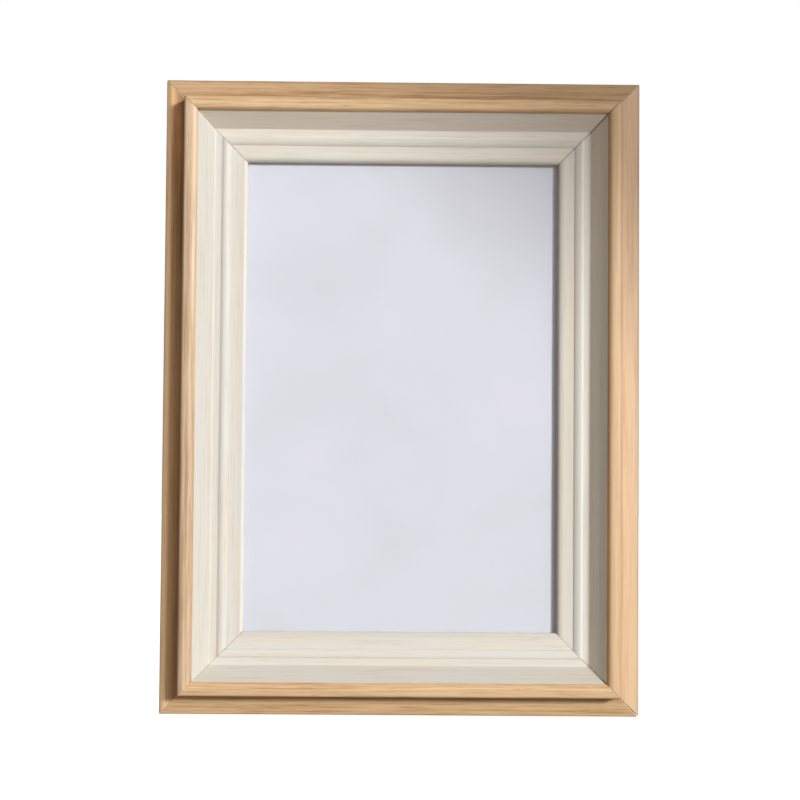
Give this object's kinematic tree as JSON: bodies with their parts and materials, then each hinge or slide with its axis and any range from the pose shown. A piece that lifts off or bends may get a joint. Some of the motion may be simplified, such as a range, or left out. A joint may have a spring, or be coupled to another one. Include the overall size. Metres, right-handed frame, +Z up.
{
  "type": "picture frame",
  "caption": "Upright picture frame with a stepped, mitred two-tone wooden moulding, glazed front, blank print, turn-button back and hinged easel strut.",
  "frame": {"origin": "bottom centre of the whole frame's box, with the strut folded", "axes": "+Z up the frame, standing upright in portrait; the print faces -Y; +X is to the viewer's right"},
  "size_m": [0.151, 0.0216, 0.201],
  "materials": {
    "natural_wood": "clear satin lacquer over light straight-grained wood",
    "cream_wood": "cream wash, satin, grain showing faintly",
    "clear_glass": "clear float glass",
    "white_paper": "smooth cool white, matte",
    "grey_card": "plain grey board",
    "fibreboard": "bare medium-density fibreboard",
    "bright_steel": "bright steel wire and strip",
    "zinc_plate": "zinc-plated steel",
    "nickel_plate": "satin nickel-plated steel",
    "brass_plate": "brass-plated steel"
  },
  "bodies": {
    "frame": {"outer_rail_top": "natural_wood", "liner_rail_top": "cream_wood", "outer_rail_bottom": "natural_wood", "liner_rail_bottom": "cream_wood", "outer_rail_left": "natural_wood", "liner_rail_left": "cream_wood", "outer_rail_right": "natural_wood", "liner_rail_right": "cream_wood", "outer_corner_nails": "bright_steel", "liner_corner_nails": "bright_steel", "seam_staples": "bright_steel", "glazing_pane": "clear_glass", "print_sheet": "white_paper", "filler_card": "grey_card", "backing_board": "fibreboard", "strut_hinge_fixed_leaf": "nickel_plate", "strut_hinge_pin": "nickel_plate", "board_rivets": "nickel_plate", "turn_button_screws": "zinc_plate", "hanger_portrait": "brass_plate", "hanger_landscape": "brass_plate", "hanger_nails": "brass_plate"},
    "strut": {"easel_strut": "fibreboard", "strut_hinge_moving_leaf": "nickel_plate", "strut_rivets": "nickel_plate"},
    "button_left_lower": {"turn_button_left_lower": "zinc_plate"},
    "button_left_upper": {"turn_button_left_upper": "zinc_plate"},
    "button_right_lower": {"turn_button_right_lower": "zinc_plate"},
    "button_right_upper": {"turn_button_right_upper": "zinc_plate"}
  },
  "joints": [
    {"name": "strut_swing", "type": "hinge", "parent": "frame", "child": "strut", "pos_m": [0, 0.00775, 0.14], "axis": [1, 0, 0], "range_deg": [0, 32]},
    {"name": "button_left_lower_turn", "type": "hinge", "parent": "frame", "child": "button_left_lower", "pos_m": [-0.0601, 0.0069, 0.045], "axis": [0, 1, 0], "continuous": true},
    {"name": "button_left_upper_turn", "type": "hinge", "parent": "frame", "child": "button_left_upper", "pos_m": [-0.0601, 0.0069, 0.156], "axis": [0, 1, 0], "continuous": true},
    {"name": "button_right_lower_turn", "type": "hinge", "parent": "frame", "child": "button_right_lower", "pos_m": [0.0601, 0.0069, 0.045], "axis": [0, 1, 0], "continuous": true},
    {"name": "button_right_upper_turn", "type": "hinge", "parent": "frame", "child": "button_right_upper", "pos_m": [0.0601, 0.0069, 0.156], "axis": [0, 1, 0], "continuous": true}
  ]
}
